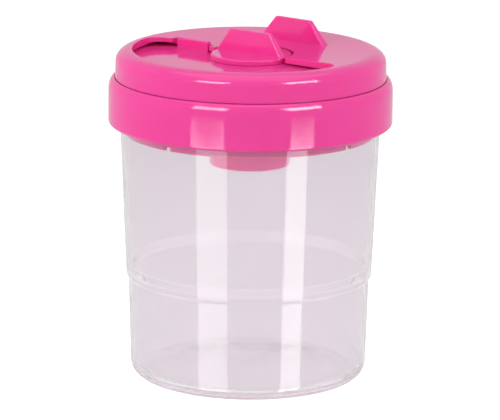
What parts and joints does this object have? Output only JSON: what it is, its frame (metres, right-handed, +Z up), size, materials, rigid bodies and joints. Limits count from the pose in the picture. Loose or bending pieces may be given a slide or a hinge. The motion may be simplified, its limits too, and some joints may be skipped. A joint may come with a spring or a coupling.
{
  "type": "brush washer",
  "caption": "Round beaker for rinsing paint brushes: clear cup, push-on lid, turning cap with a half-round window, and a stopper with an upright finger grip.",
  "frame": {"origin": "centre of the cup's foot, on the surface that the pot stands on", "axes": "+Z up along the cup's axis, +X to the right and +Y away from the person facing it; at rest the grips and the window's straight edge lie 38 degrees clockwise from +X, seen from above"},
  "size_m": [0.08, 0.08, 0.0996],
  "materials": {
    "clear_cup": "clear polypropylene, glossy, slightly hazy",
    "pink_lid": "moulded in solid pink, glossy"
  },
  "bodies": {
    "cup": {"cup": "clear_cup"},
    "lid": {"lid": "pink_lid"},
    "cap": {"turning_cap": "pink_lid"},
    "stopper": {"stopper": "pink_lid"}
  },
  "joints": [
    {"name": "lid_lift", "type": "slide", "parent": "cup", "child": "lid", "axis": [0, 0, 1], "range_m": [0, 0.045]},
    {"name": "cap_turn", "type": "hinge", "parent": "lid", "child": "cap", "pos_m": [0, 0, 0.0908], "axis": [0, 0, -1], "range_deg": [0, 168]},
    {"name": "stopper_pull", "type": "slide", "parent": "lid", "child": "stopper", "axis": [0, 0, 1], "range_m": [0, 0.02]}
  ]
}
